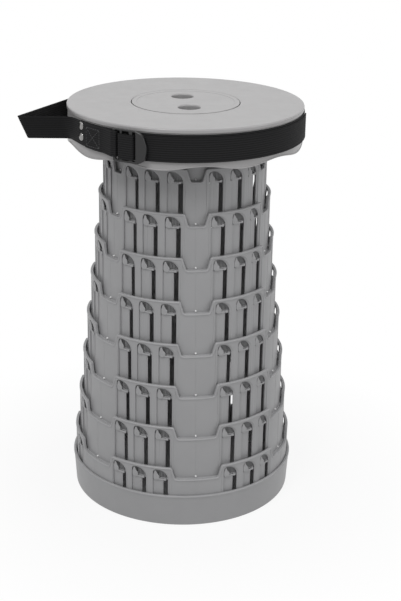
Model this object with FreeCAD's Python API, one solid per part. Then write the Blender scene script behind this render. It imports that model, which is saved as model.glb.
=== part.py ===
"""Telescopic stool: eight nested rings between a base tray and a round seat.

Millimetres, +Z up, origin on the floor at the middle of the stool.
The stool stands fully extended. An azimuth of 0 faces -Y and grows towards +X.
"""
import FreeCAD
import Part
import math
import os

from FreeCAD import Vector

# Driving sizes of the whole stool
STOOL_HEIGHT = 450.0
RING_COUNT = 8
RING_RADIUS = 124.0
RING_STEP = 4.9
RING_WALL = 2.6
RING_HEIGHT = 62.9
FIRST_RING_TOP = 70.8
PITCH = 46.9
RUN_GAP = 0.35

# Six panels and six window groups round each ring
PANEL_COUNT = 6
PANEL_AZIMUTH = 8.0
GROUP_WIDTH = 73.5
NOTCH_DEPTH = 13.7
NOTCH_SLANT = 4.2
NOTCH_CORNER = 2.2

# Each window: an arched pocket with a slot below its right side
WINDOWS_PER_GROUP = 3
WINDOW_SPACING = 25.0
WINDOW_SHIFT = -0.65
POCKET_WIDTH = 16.9
SLOT_WIDTH = 5.0
LEDGE_DROP = 16.0
ARCH_LEFT_RISE = 8.2
ARCH_RISE = 12.7
ARCH_APEX_INSET = 3.05
ARCH_RIGHT_RISE = 1.2
ARCH_FACETS = 2
COLUMN_RECESS = 1.7
CUT_REACH = 5.0

# The hoop round the foot of a ring, and the lugs that it carries
HOOP_HEIGHT = 4.5
HOOP_PROUD = RING_STEP - RING_WALL - RUN_GAP
LUG_RADIUS = 4.0
LUG_HEIGHT = 11.4
LUG_FACE_DEPTH = 0.3
LUG_PLATE = 1.05
SHANK_WIDTH = 2.6
SHANK_HEIGHT = 3.2
LUG_WING = 2.4
LUG_SHOULDER = (3.2, 7.0)
LUG_TIP = -0.7

# Base tray, its pads and screws
BASE_FOOT_Z = 0.6
BASE_FLOOR_Z = 2.4
BASE_FLOOR_TOP = 5.0
BASE_FOOT_RADIUS = 124.7
BASE_RIM_RADIUS = 127.1
BASE_RIM_TOP = 38.0
BASE_INNER_RADIUS = 124.4
PAD_RADIUS = 9.0
PAD_CIRCLE = 98.0
RING_FLANGE_RADIUS = 108.0
RING_FLANGE_TOP = 7.5
BASE_SCREW_CIRCLE = 114.0
BASE_SCREW_HOLE = 1.7
SCREW_RADIUS = 1.3
SCREW_COUNT = 3
SCREW_HEAD_RADIUS = 3.2
SCREW_HEAD = 1.5
PAD_COUNT = 6

# Seat: top plate, skirt, lid and inner ring
SEAT_RADIUS = 127.8
SEAT_PLATE = 3.6
SEAT_LIP_Z = 445.6
SEAT_LIP_WALL = 2.2
SEAT_LIP_GAP = 0.3
SEAT_BEVEL = 1.5
SKIRT_RADIUS = 126.9
SKIRT_WALL = 1.7
SKIRT_LOW_Z = 407.0
SKIRT_LOBE_RISE = 4.6
SKIRT_LOBES = 12
LOBE_FACETS = 3
SKIRT_FLANGE_RADIUS = 113.0
FLANGE_THICKNESS = 2.6
SEAT_RING_FLANGE_RADIUS = 71.0
SEAT_SCREW_CIRCLE = 76.5
SEAT_SCREW_BITE = 2.2
LID_RADIUS = 59.0
LID_GAP = 0.45
LID_LEDGE_RADIUS = 53.0
LID_DROP = 1.0
LID_THICKNESS = 2.6
FINGER_RADIUS = 12.0
FINGER_CIRCLE = 27.0
COLLAR_WALL = 1.6
COLLAR_DROP = 5.0
LID_LEDGE = 1.8
LID_FIELD_DROP = 0.4
RIB_START = 92.0
RIB_LENGTH = 18.0
RIB_WIDTH = 1.6
RIB_DEPTH = 2.6
RIB_COUNT = 6
LID_HOOK_WIDTH = 8.0
LID_HOOK_WALL = 1.5
LID_HOOK_CATCH = 1.5
LID_HOOK_COUNT = 3

# Webbing strap, its buckle and rivets
STRAP_WIDTH = 28.8
STRAP_THICK = 1.4
STRAP_LOW_Z = 416.4
STRAP_GAP = 0.1
TAIL_DROP = 0.8
LOOP_TIP = (-171.0, -47.0)
LOOP_FRONT_BEND = (-118.5, -54.5)
LOOP_FOLD_RADIUS = 3.0
LOOP_BEND_RADIUS = 12.0
END_START_AZIMUTH = -57.0
END_TURN_AZIMUTH = -35.1
END_LAP_AZIMUTH = -51.5
END_LAP_STOP_AZIMUTH = -39.0
TAIL_START_AZIMUTH = -13.0
TAIL_END_AZIMUTH = 84.0
BUCKLE_AZIMUTH = -28.0
BUCKLE_HALF_WIDTH = 13.0
BUCKLE_HEIGHT = 34.0
BUCKLE_NEAR = 130.2
BUCKLE_THICK = 3.2
BUCKLE_TAB = 10.5
BUCKLE_SLOTS = ((-10.0, -5.0), (-2.2, 4.6), (7.4, 10.4))
BUCKLE_CORNER = 1.5
BUCKLE_PLAY = 0.3
FOLD_RADIUS = 1.2
RIVET_AZIMUTH = -55.6
RIVET_RADIUS = 4.2
RIVET_SHANK = 1.6
RIVET_DOME = 1.3
RIVET_LEVELS = (439.4, 427.8)

INNER_LAYER = SKIRT_RADIUS + STRAP_GAP + STRAP_THICK / 2.0
OUTER_LAYER = INNER_LAYER + STRAP_THICK + STRAP_GAP
THIRD_LAYER = OUTER_LAYER + STRAP_THICK + STRAP_GAP
OVER_BARS = BUCKLE_NEAR + BUCKLE_THICK + STRAP_THICK / 2.0 + BUCKLE_PLAY
UP = Vector(0, 0, 1)


def polar(radius, azimuth, z=0.0):
    """The point at this radius and azimuth (degrees, 0 at -Y, towards +X)."""
    turn = math.radians(azimuth)
    return Vector(radius * math.sin(turn), -radius * math.cos(turn), z)


def tube(outer, inner, low, high):
    """A plain round tube."""
    solid = Part.makeCylinder(outer, high - low, Vector(0, 0, low))
    return solid.cut(Part.makeCylinder(inner, high - low, Vector(0, 0, low)))


def outline(points):
    """A face in the XZ plane. A point with a third value True is passed by an arc."""
    edges = []
    start = points[0]
    middle = None
    for point in points[1:] + points[:1]:
        here = Vector(point[0], 0, point[1])
        if len(point) == 3:
            middle = here
            continue
        begin = Vector(start[0], 0, start[1])
        if middle is None:
            edges.append(Part.makeLine(begin, here))
        else:
            edges.append(Part.Arc(begin, middle, here).toShape())
        start = point
        middle = None
    return Part.Face(Part.Wire(edges))


def radial_prism(face, near, far, azimuth):
    """Push an XZ outline outwards between two distances, then turn it to its azimuth."""
    solid = face.copy()
    solid.translate(Vector(0, -near, 0))
    solid = solid.extrude(Vector(0, near - far, 0))
    solid.rotate(Vector(0, 0, 0), UP, azimuth)
    return solid


def revolve(points):
    """Turn a closed (radius, height) profile once about Z."""
    return outline(points).revolve(Vector(0, 0, 0), UP, 360)


def around(shape, count, first=0.0):
    """Copies of a shape, evenly spaced about Z."""
    copies = []
    for index in range(count):
        copy = shape.copy()
        copy.rotate(Vector(0, 0, 0), UP, first + index * 360.0 / count)
        copies.append(copy)
    return copies


def ring_radius(number):
    """Outer radius of a ring; number 1 is the widest, 9 is the seat's own ring."""
    return RING_RADIUS - RING_STEP * (number - 1)


def ring_top(number):
    """Height of the top of a ring when the stool is extended."""
    return FIRST_RING_TOP + PITCH * (number - 1)


def window_azimuths(number):
    """Azimuths of the middles of the eighteen windows of a ring."""
    radius = ring_radius(number)
    angles = []
    for group in range(PANEL_COUNT):
        middle = PANEL_AZIMUTH + (group + 0.5) * 360.0 / PANEL_COUNT
        for index in range(WINDOWS_PER_GROUP):
            along = (index - 1) * WINDOW_SPACING + WINDOW_SHIFT
            angles.append(middle + math.degrees(along / radius))
    return angles


def window_outline(ledge, foot):
    """Arched pocket over the ledge, open into a slot that runs down to the foot."""
    half = POCKET_WIDTH / 2.0
    apex = -half + ARCH_APEX_INSET
    reach = half - apex
    drop = ARCH_RISE - ARCH_RIGHT_RISE
    points = [(-half, ledge), (-half, ledge + ARCH_LEFT_RISE)]
    for index in range(ARCH_FACETS + 1):
        turn = math.pi / 2.0 * index / ARCH_FACETS
        height = ledge + ARCH_RIGHT_RISE + drop * math.cos(turn)
        points.append((apex + reach * math.sin(turn), height))
    points += [(half, foot), (half - SLOT_WIDTH, foot), (half - SLOT_WIDTH, ledge)]
    return outline(points)


def lug_outline(foot):
    """A drop-shaped lug with a low wing that reaches the shank in the slot."""
    half = POCKET_WIDTH / 2.0
    left = -half + RUN_GAP
    middle = left + LUG_RADIUS
    shank_right = half - SLOT_WIDTH + RUN_GAP + SHANK_WIDTH
    return outline([
        (left, foot),
        (shank_right, foot),
        (shank_right, foot + LUG_WING),
        (middle + LUG_SHOULDER[0], foot + LUG_SHOULDER[1]),
        (middle + LUG_TIP, foot + LUG_HEIGHT),
        (left, foot + LUG_RADIUS + 1.6),
    ])


def notch_outline(number):
    """The dip in a ring's top edge over a plain panel, with eased corners."""
    top = ring_top(number)
    half = math.pi * ring_radius(number) / PANEL_COUNT - GROUP_WIDTH / 2.0
    floor = top - NOTCH_DEPTH
    low_half = half - NOTCH_SLANT
    corner = NOTCH_CORNER
    return outline([
        (-half - corner, top + corner),
        (-half - corner, top),
        (-half + 0.3 * corner, top - corner),
        (-low_half - 0.3 * corner, floor + corner),
        (-low_half + corner, floor),
        (low_half - corner, floor),
        (low_half + 0.3 * corner, floor + corner),
        (half - 0.3 * corner, top - corner),
        (half + corner, top),
        (half + corner, top + corner),
    ])


def ring_lugs(number):
    """Lugs at the foot of a ring, lined up with the pockets of the ring outside it."""
    outer = ring_radius(number - 1)
    foot = ring_top(number - 1) - LEDGE_DROP
    face = lug_outline(foot)
    half = POCKET_WIDTH / 2.0
    shank_left = half - SLOT_WIDTH + RUN_GAP
    shank = outline([
        (shank_left, foot),
        (shank_left + SHANK_WIDTH, foot),
        (shank_left + SHANK_WIDTH, foot + SHANK_HEIGHT),
        (shank_left, foot + SHANK_HEIGHT),
    ])
    inner = ring_radius(number) + HOOP_PROUD - 0.4
    lugs = []
    for azimuth in window_azimuths(number - 1):
        face_at = outer - LUG_FACE_DEPTH
        plate = radial_prism(face, face_at - LUG_PLATE, face_at, azimuth)
        lugs.append(plate.fuse(radial_prism(shank, inner, face_at, azimuth)))
    return lugs


def ring_wall(number, foot):
    """Wall of a ring with the six dips in its top edge."""
    radius = ring_radius(number)
    wall = tube(radius, radius - RING_WALL, foot, ring_top(number))
    notch = radial_prism(notch_outline(number), radius * 0.8, radius + CUT_REACH, 0)
    return wall.cut(around(notch, PANEL_COUNT, PANEL_AZIMUTH))


def ring_cutters(number, foot):
    """Windows through a ring's wall, and the shallow recess in front of each column."""
    radius = ring_radius(number)
    ledge = ring_top(number) - LEDGE_DROP
    half = POCKET_WIDTH / 2.0
    window = window_outline(ledge, foot - 1)
    column = outline([
        (-half, foot - 1),
        (half - SLOT_WIDTH + 0.1, foot - 1),
        (half - SLOT_WIDTH + 0.1, ledge + 0.1),
        (-half, ledge + 0.1),
    ])
    cutters = []
    for azimuth in window_azimuths(number):
        outside = radius + RUN_GAP
        through = radial_prism(window, radius * 0.9, outside, azimuth)
        recess = radial_prism(column, radius - COLUMN_RECESS, outside, azimuth)
        cutters.append(through.fuse(recess))
    return Part.makeCompound(cutters)


def make_ring(number):
    """One of the eight visible rings."""
    radius = ring_radius(number)
    foot = ring_top(number) - RING_HEIGHT
    if number == 1:
        foot = BASE_FLOOR_TOP
    body = ring_wall(number, foot)
    if number > 1:
        hoop = tube(radius + HOOP_PROUD, radius - 0.5, foot, foot + HOOP_HEIGHT)
        body = body.fuse(hoop)
    body = body.cut(ring_cutters(number, foot))
    if number == 1:
        flange = tube(radius - 1.0, RING_FLANGE_RADIUS, foot, RING_FLANGE_TOP)
        hole = Part.makeCylinder(SCREW_RADIUS, 20, polar(BASE_SCREW_CIRCLE, 0, foot - 5))
        body = body.fuse(flange).cut(around(hole, SCREW_COUNT, PANEL_AZIMUTH))
    else:
        body = body.fuse(ring_lugs(number))
    return body.removeSplitter()


def make_seat_ring():
    """The innermost ring, which hangs under the seat by a flange."""
    number = RING_COUNT + 1
    radius = ring_radius(number)
    foot = ring_top(RING_COUNT) - LEDGE_DROP
    top = STOOL_HEIGHT - SEAT_PLATE
    body = tube(radius, radius - RING_WALL, foot, top)
    hoop = tube(radius + HOOP_PROUD, radius - 0.5, foot, foot + HOOP_HEIGHT)
    flange = tube(radius - 1.0, SEAT_RING_FLANGE_RADIUS, top - FLANGE_THICKNESS, top)
    hole = Part.makeCylinder(BASE_SCREW_HOLE, 20, polar(SEAT_SCREW_CIRCLE, 0, top - 10))
    body = body.fuse([hoop, flange] + ring_lugs(number))
    return body.cut(around(hole, SCREW_COUNT, PANEL_AZIMUTH)).removeSplitter()


def make_base_tray():
    """Floor and slightly flared band that the lowest ring stands in."""
    body = revolve([
        (0, BASE_FLOOR_Z),
        (BASE_FOOT_RADIUS - 6.0, BASE_FLOOR_Z),
        (BASE_FOOT_RADIUS - 6.0, BASE_FOOT_Z),
        (BASE_FOOT_RADIUS, BASE_FOOT_Z),
        (BASE_RIM_RADIUS, BASE_RIM_TOP),
        (BASE_INNER_RADIUS, BASE_RIM_TOP),
        (BASE_INNER_RADIUS, BASE_FLOOR_TOP),
        (0, BASE_FLOOR_TOP),
    ])
    hole = Part.makeCylinder(BASE_SCREW_HOLE, 20, polar(BASE_SCREW_CIRCLE, 0, -5))
    return body.cut(around(hole, SCREW_COUNT, PANEL_AZIMUTH)).removeSplitter()


def make_base_pads():
    """Six rubber pads stuck round the underside of the tray, and one in its middle."""
    pad = Part.makeCylinder(PAD_RADIUS, BASE_FLOOR_Z, polar(PAD_CIRCLE, 0))
    middle = Part.makeCylinder(PAD_RADIUS, BASE_FLOOR_Z)
    return Part.makeCompound([middle] + around(pad, PAD_COUNT, PANEL_AZIMUTH + 180.0 / PAD_COUNT))


def flat_screw(length):
    """A screw with its flat head below z = 0 and its shank up."""
    head = Part.makeCylinder(SCREW_HEAD_RADIUS, SCREW_HEAD, Vector(0, 0, -SCREW_HEAD))
    return head.fuse(Part.makeCylinder(SCREW_RADIUS, length)).removeSplitter()


def make_base_screws():
    """Screws through the floor into the flange of ring 1."""
    screw = flat_screw(RING_FLANGE_TOP - BASE_FLOOR_Z - RUN_GAP)
    screw.translate(polar(BASE_SCREW_CIRCLE, 0, BASE_FLOOR_Z))
    return Part.makeCompound(around(screw, SCREW_COUNT, PANEL_AZIMUTH))


def make_seat_top():
    """Round plate with a turned-down edge, a ledge for the lid and short ribs below."""
    under = STOOL_HEIGHT - SEAT_PLATE
    lid_seat = STOOL_HEIGHT - LID_DROP - LID_THICKNESS
    body = revolve([
        (LID_LEDGE_RADIUS, lid_seat - LID_LEDGE),
        (LID_RADIUS + 3.0, lid_seat - LID_LEDGE),
        (LID_RADIUS + 3.0, under),
        (SEAT_RADIUS - SEAT_LIP_WALL, under),
        (SEAT_RADIUS - SEAT_LIP_WALL, SEAT_LIP_Z),
        (SEAT_RADIUS, SEAT_LIP_Z),
        (SEAT_RADIUS, STOOL_HEIGHT - SEAT_BEVEL),
        (SEAT_RADIUS - SEAT_BEVEL, STOOL_HEIGHT),
        (LID_RADIUS, STOOL_HEIGHT),
        (LID_RADIUS, lid_seat),
        (LID_LEDGE_RADIUS, lid_seat),
    ])
    corner = Vector(RIB_START, -RIB_WIDTH / 2.0, under - RIB_DEPTH)
    rib = Part.makeBox(RIB_LENGTH, RIB_WIDTH, RIB_DEPTH, corner)
    body = body.fuse(around(rib, RIB_COUNT, PANEL_AZIMUTH + 90.0 / RIB_COUNT))
    hole = Part.makeCylinder(SCREW_RADIUS, SEAT_SCREW_BITE + 0.2, polar(SEAT_SCREW_CIRCLE, 0, under))
    return body.cut(around(hole, SCREW_COUNT, PANEL_AZIMUTH)).removeSplitter()


def lobe_cutter():
    """What is cut from under the skirt between two low points of its wavy edge."""
    half = SKIRT_RADIUS * math.sin(math.pi / SKIRT_LOBES)
    points = []
    for index in range(2 * LOBE_FACETS + 1):
        along = index / float(LOBE_FACETS) - 1.0
        height = SKIRT_LOW_Z + SKIRT_LOBE_RISE * (1 + math.cos(math.pi * along)) / 2.0
        points.append((half * along, height))
    points += [(half, SKIRT_LOW_Z - CUT_REACH), (-half, SKIRT_LOW_Z - CUT_REACH)]
    return radial_prism(outline(points), SKIRT_RADIUS * 0.9, SKIRT_RADIUS + CUT_REACH, 0)


def rivet_holes(near, far):
    """Cutters for the two rivets between two distances from the axis."""
    holes = []
    for level in RIVET_LEVELS:
        place = polar(near, RIVET_AZIMUTH, level)
        holes.append(Part.makeCylinder(RIVET_SHANK + 0.05, far - near, place, polar(1, RIVET_AZIMUTH)))
    return holes


def make_seat_skirt():
    """Side wall of the seat with a wavy lower edge and a flange under the plate."""
    top = STOOL_HEIGHT - SEAT_PLATE
    inner = SKIRT_RADIUS - SKIRT_WALL
    lip_room = SEAT_RADIUS - SEAT_LIP_WALL - SEAT_LIP_GAP
    body = revolve([
        (SKIRT_FLANGE_RADIUS, top - FLANGE_THICKNESS),
        (inner, top - FLANGE_THICKNESS),
        (inner, SKIRT_LOW_Z),
        (SKIRT_RADIUS, SKIRT_LOW_Z),
        (SKIRT_RADIUS, SEAT_LIP_Z - SEAT_LIP_GAP),
        (lip_room, SEAT_LIP_Z - SEAT_LIP_GAP),
        (lip_room, top),
        (SKIRT_FLANGE_RADIUS, top),
    ])
    body = body.cut(around(lobe_cutter(), SKIRT_LOBES, PANEL_AZIMUTH))
    return body.cut(rivet_holes(SKIRT_RADIUS - 6, SKIRT_RADIUS + 4)).removeSplitter()


def make_center_lid():
    """Round lid in the middle of the seat with two finger holes and three snap hooks."""
    low = STOOL_HEIGHT - LID_DROP - LID_THICKNESS
    top = STOOL_HEIGHT - LID_DROP
    radius = LID_RADIUS - LID_GAP
    body = revolve([
        (0, low),
        (radius, low),
        (radius, top),
        (LID_LEDGE_RADIUS, top),
        (LID_LEDGE_RADIUS, top - LID_FIELD_DROP),
        (0, top - LID_FIELD_DROP),
    ])
    bores = []
    for side in (0.0, 180.0):
        azimuth = PANEL_AZIMUTH + side
        foot = polar(FINGER_CIRCLE, azimuth, low - COLLAR_DROP)
        body = body.fuse(Part.makeCylinder(FINGER_RADIUS + COLLAR_WALL, COLLAR_DROP + 1, foot))
        bores.append(Part.makeCylinder(FINGER_RADIUS, 4 * COLLAR_DROP, foot - UP))
    far = LID_LEDGE_RADIUS - RUN_GAP
    near = far - LID_HOOK_WALL
    catch = low - LID_LEDGE - RUN_GAP
    hook = outline([
        (near, catch - LID_HOOK_CATCH),
        (far, catch - LID_HOOK_CATCH),
        (far + LID_HOOK_CATCH, catch),
        (far, catch),
        (far, low),
        (near, low),
    ])
    hook.translate(Vector(0, -LID_HOOK_WIDTH / 2.0, 0))
    hook = hook.extrude(Vector(0, LID_HOOK_WIDTH, 0))
    body = body.fuse(around(hook, LID_HOOK_COUNT, PANEL_AZIMUTH))
    return body.cut(bores).removeSplitter()


def make_seat_screws():
    """Screws up through the seat ring's flange into the seat plate."""
    screw = flat_screw(FLANGE_THICKNESS + SEAT_SCREW_BITE)
    screw.translate(polar(SEAT_SCREW_CIRCLE, 0, STOOL_HEIGHT - SEAT_PLATE - FLANGE_THICKNESS))
    return Part.makeCompound(around(screw, SCREW_COUNT, PANEL_AZIMUTH))


def band(middle_radius, start, stop, low, width):
    """Webbing laid on a circle between two azimuths."""
    inner = middle_radius - STRAP_THICK / 2.0
    outer = middle_radius + STRAP_THICK / 2.0
    half_way = 0.5 * (start + stop)
    edges = [
        Part.Arc(polar(outer, start), polar(outer, half_way), polar(outer, stop)).toShape(),
        Part.makeLine(polar(outer, stop), polar(inner, stop)),
        Part.Arc(polar(inner, stop), polar(inner, half_way), polar(inner, start)).toShape(),
        Part.makeLine(polar(inner, start), polar(outer, start)),
    ]
    solid = Part.Face(Part.Wire(edges)).extrude(Vector(0, 0, width))
    solid.translate(Vector(0, 0, low))
    return solid


def route_side(points, radii, offset):
    """Straight runs and tangent arcs through the points, moved sideways by an offset."""
    last = len(points) - 1
    ways = [(points[index + 1] - points[index]).normalize() for index in range(last)]
    starts = []
    stops = []
    for index in range(last):
        side = Vector(ways[index].y, -ways[index].x, 0) * offset
        starts.append(points[index] + side)
        stops.append(points[index + 1] + side)
    arcs = []
    for index in range(1, last):
        before = ways[index - 1]
        after = ways[index]
        hand = math.copysign(1.0, before.cross(after).z)
        turn = before.getAngle(after)
        radius = radii[index - 1]
        inward = Vector(-before.y, before.x, 0) * hand
        inward_after = Vector(-after.y, after.x, 0) * hand
        centre = points[index] - before * (radius * math.tan(turn / 2.0)) + inward * radius
        reach = radius + offset * hand
        middle_way = (inward + inward_after).normalize()
        stops[index - 1] = centre - inward * reach
        starts[index] = centre - inward_after * reach
        arcs.append(Part.Arc(stops[index - 1], centre - middle_way * reach, starts[index]).toShape())
    edges = []
    for index in range(last):
        edges.append(Part.makeLine(starts[index], stops[index]))
        edges += arcs[index:index + 1]
    return edges, starts[0], stops[-1]


def ribbon(points, radii, low, width):
    """Upright webbing whose middle follows a plan route with rounded corners."""
    left, left_start, left_stop = route_side(points, radii, -STRAP_THICK / 2.0)
    right, right_start, right_stop = route_side(points, radii, STRAP_THICK / 2.0)
    ends = [Part.makeLine(left_start, right_start), Part.makeLine(left_stop, right_stop)]
    wire = Part.Wire(Part.__sortEdges__(left + right + ends))
    solid = Part.Face(wire).extrude(Vector(0, 0, width))
    solid.translate(Vector(0, 0, low))
    return solid


def at_buckle(along, distance):
    """A plan point given along the buckle and by its distance out from the axis."""
    turn = math.radians(BUCKLE_AZIMUTH)
    return Vector(along * math.cos(turn) + distance * math.sin(turn),
                  along * math.sin(turn) - distance * math.cos(turn), 0)


def loop_tangent_azimuth():
    """Where the loop's back leg leaves the seat: the tangent point from the tip."""
    tip_azimuth = math.degrees(math.atan2(LOOP_TIP[0], -LOOP_TIP[1]))
    return tip_azimuth - math.degrees(math.acos(INNER_LAYER / math.hypot(*LOOP_TIP)))


def make_strap_belt():
    """Inner layer of webbing, from the rivets round the seat to the loop."""
    stop = 360.0 + loop_tangent_azimuth()
    belt = band(INNER_LAYER, END_START_AZIMUTH, stop, STRAP_LOW_Z, STRAP_WIDTH)
    return belt.cut(rivet_holes(SKIRT_RADIUS - 6, SKIRT_RADIUS + 8))


def make_strap_loop():
    """The pulled-out loop: tangent off the back, folded at its tip, back to the front."""
    tip = Vector(LOOP_TIP[0], LOOP_TIP[1], 0)
    bend = Vector(LOOP_FRONT_BEND[0], LOOP_FRONT_BEND[1], 0)
    points = [
        polar(INNER_LAYER, loop_tangent_azimuth()),
        tip,
        bend,
        polar(OUTER_LAYER, END_START_AZIMUTH - 0.1),
    ]
    return ribbon(points, [LOOP_FOLD_RADIUS, LOOP_BEND_RADIUS], STRAP_LOW_Z, STRAP_WIDTH)


def make_strap_end():
    """Sewn end: over the rivets, round the buckle's first bar and back on itself."""
    under = band(OUTER_LAYER, END_START_AZIMUTH, END_TURN_AZIMUTH, STRAP_LOW_Z, STRAP_WIDTH)
    lap = band(THIRD_LAYER, END_LAP_AZIMUTH, END_LAP_STOP_AZIMUTH, STRAP_LOW_Z, STRAP_WIDTH)
    fold_at = BUCKLE_SLOTS[0][0] + BUCKLE_PLAY + STRAP_THICK / 2.0
    points = [
        polar(OUTER_LAYER, END_TURN_AZIMUTH),
        at_buckle(fold_at, OUTER_LAYER - 0.2),
        at_buckle(fold_at, OVER_BARS),
        at_buckle(-BUCKLE_HALF_WIDTH - 1.0, OVER_BARS),
        polar(THIRD_LAYER, END_LAP_STOP_AZIMUTH),
    ]
    fold = ribbon(points, [FOLD_RADIUS, FOLD_RADIUS, 3.0], STRAP_LOW_Z, STRAP_WIDTH)
    body = under.fuse([lap, fold]).removeSplitter()
    return body.cut(rivet_holes(SKIRT_RADIUS - 6, SKIRT_RADIUS + 8))


def make_strap_tail():
    """Free end: through the buckle's slots, then along the front to its hem."""
    low = STRAP_LOW_Z - TAIL_DROP
    width = STRAP_WIDTH - 2 * TAIL_DROP
    tail = band(OUTER_LAYER, TAIL_START_AZIMUTH, TAIL_END_AZIMUTH, low, width)
    down = BUCKLE_SLOTS[0][1] - BUCKLE_PLAY - STRAP_THICK / 2.0
    up = BUCKLE_SLOTS[2][0] + BUCKLE_PLAY + STRAP_THICK / 2.0
    points = [
        at_buckle(1.0, OUTER_LAYER + 0.1),
        at_buckle(down, OUTER_LAYER + 0.1),
        at_buckle(down, OVER_BARS),
        at_buckle(up, OVER_BARS),
        at_buckle(up, OUTER_LAYER - 0.1),
        at_buckle(21.0, OUTER_LAYER - 1.3),
        polar(OUTER_LAYER, TAIL_START_AZIMUTH),
    ]
    radii = [FOLD_RADIUS, FOLD_RADIUS, FOLD_RADIUS, FOLD_RADIUS, 30.0]
    return tail.fuse(ribbon(points, radii, low, width)).removeSplitter()


def make_buckle():
    """Ladder buckle: a frame with three bars and a rounded lifting tab."""
    far = BUCKLE_NEAR + BUCKLE_THICK
    middle = STRAP_LOW_Z + STRAP_WIDTH / 2.0 - TAIL_DROP
    half_w = BUCKLE_HALF_WIDTH
    half_h = BUCKLE_HEIGHT / 2.0
    frame = outline([
        (-half_w, middle - half_h + BUCKLE_CORNER),
        (-half_w + BUCKLE_CORNER, middle - half_h),
        (half_w, middle - half_h),
        (half_w + BUCKLE_TAB * 0.8, middle - half_h * 0.62, True),
        (half_w + BUCKLE_TAB, middle),
        (half_w + BUCKLE_TAB * 0.55, middle + half_h * 0.72, True),
        (half_w - 2.0, middle + half_h),
        (-half_w + BUCKLE_CORNER, middle + half_h),
        (-half_w, middle + half_h - BUCKLE_CORNER),
    ])
    body = radial_prism(frame, BUCKLE_NEAR, far, 0)
    slot_half = STRAP_WIDTH / 2.0 + 0.5
    openings = []
    for start, stop in BUCKLE_SLOTS:
        face = outline([
            (start, middle - slot_half),
            (stop, middle - slot_half),
            (stop, middle + slot_half + TAIL_DROP),
            (start, middle + slot_half + TAIL_DROP),
        ])
        openings.append(radial_prism(face, BUCKLE_NEAR - CUT_REACH, far + CUT_REACH, 0))
    body = body.cut(openings).removeSplitter()
    body.rotate(Vector(0, 0, 0), UP, BUCKLE_AZIMUTH)
    return body


def make_strap_rivets():
    """Two domed rivets through the sewn end and the skirt."""
    inside = SKIRT_RADIUS - SKIRT_WALL
    reach = OUTER_LAYER + STRAP_THICK / 2.0 - inside
    profile = outline([
        (0, 0),
        (RIVET_SHANK, 0),
        (RIVET_SHANK, reach),
        (RIVET_RADIUS, reach),
        (RIVET_RADIUS * 0.6, reach + RIVET_DOME),
        (0, reach + RIVET_DOME),
    ])
    rivet = profile.revolve(Vector(0, 0, 0), UP, 360)
    rivet.rotate(Vector(0, 0, 0), Vector(1, 0, 0), 90)
    rivets = []
    for level in RIVET_LEVELS:
        copy = rivet.copy()
        copy.translate(Vector(0, -inside, level))
        copy.rotate(Vector(0, 0, 0), UP, RIVET_AZIMUTH)
        rivets.append(copy)
    return Part.makeCompound(rivets)


def build():
    """All pieces by node name."""
    pieces = {
        "base_tray": make_base_tray(),
        "base_pads": make_base_pads(),
        "base_screws": make_base_screws(),
    }
    for number in range(1, RING_COUNT + 1):
        pieces["ring_%d" % number] = make_ring(number)
    pieces["seat_ring"] = make_seat_ring()
    pieces["seat_skirt"] = make_seat_skirt()
    pieces["seat_top"] = make_seat_top()
    pieces["center_lid"] = make_center_lid()
    pieces["seat_screws"] = make_seat_screws()
    pieces["strap_belt"] = make_strap_belt()
    pieces["strap_loop"] = make_strap_loop()
    pieces["strap_end"] = make_strap_end()
    pieces["strap_tail"] = make_strap_tail()
    pieces["strap_buckle"] = make_buckle()
    pieces["strap_rivets"] = make_strap_rivets()
    return pieces


os.makedirs("parts", exist_ok=True)
for name, shape in build().items():
    shape.exportStep("parts/%s.step" % name)
    print(name, "solids", len(shape.Solids), "valid", shape.isValid(), "volume %.0f" % shape.Volume)
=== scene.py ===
"""Looks of the telescopic stool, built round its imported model.

Shapes are worked out in millimetres, in the model's own frame, and scaled to metres at the end.
An azimuth of 0 faces -Y and grows towards +X.
"""
import math

import bmesh
import bpy
from mathutils import Matrix, Vector
from mathutils.geometry import tessellate_polygon


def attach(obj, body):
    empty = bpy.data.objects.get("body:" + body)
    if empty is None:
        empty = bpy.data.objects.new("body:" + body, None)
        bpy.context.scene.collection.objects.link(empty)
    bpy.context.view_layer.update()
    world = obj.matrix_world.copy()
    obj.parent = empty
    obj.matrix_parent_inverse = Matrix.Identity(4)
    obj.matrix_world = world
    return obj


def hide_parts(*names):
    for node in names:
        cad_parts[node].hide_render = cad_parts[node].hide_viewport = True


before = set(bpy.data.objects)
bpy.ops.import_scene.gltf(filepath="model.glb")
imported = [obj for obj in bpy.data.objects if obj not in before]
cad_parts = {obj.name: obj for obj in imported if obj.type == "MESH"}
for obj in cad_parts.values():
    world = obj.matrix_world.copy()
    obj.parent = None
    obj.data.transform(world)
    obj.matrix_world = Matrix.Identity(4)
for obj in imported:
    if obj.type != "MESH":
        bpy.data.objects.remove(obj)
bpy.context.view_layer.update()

MM = 0.001

# Rings
RING_COUNT = 8
RING_RADIUS = 124.0
RING_STEP = 4.9
RING_WALL = 2.6
RING_HEIGHT = 62.9
FIRST_RING_TOP = 70.8
PITCH = 46.9
PANEL_COUNT = 6
PANEL_AZIMUTH = 8.0
GROUP_HALF = 36.75
NOTCH_DEPTH = 13.7
NOTCH_SLANT = 4.2
NOTCH_ROUND = 2.6
SECTOR_SLICES = 24
SECTOR_SPARE = 2.0
CLOSE = 1e-4
SKIN = 1.7
EDGE_ROUND = 0.4
BAND_HEIGHT = 2.3
BAND_PROUD = 0.5
RIDGE_PLACE = 35.8
RIDGE_WIDTH = 1.5

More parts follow.
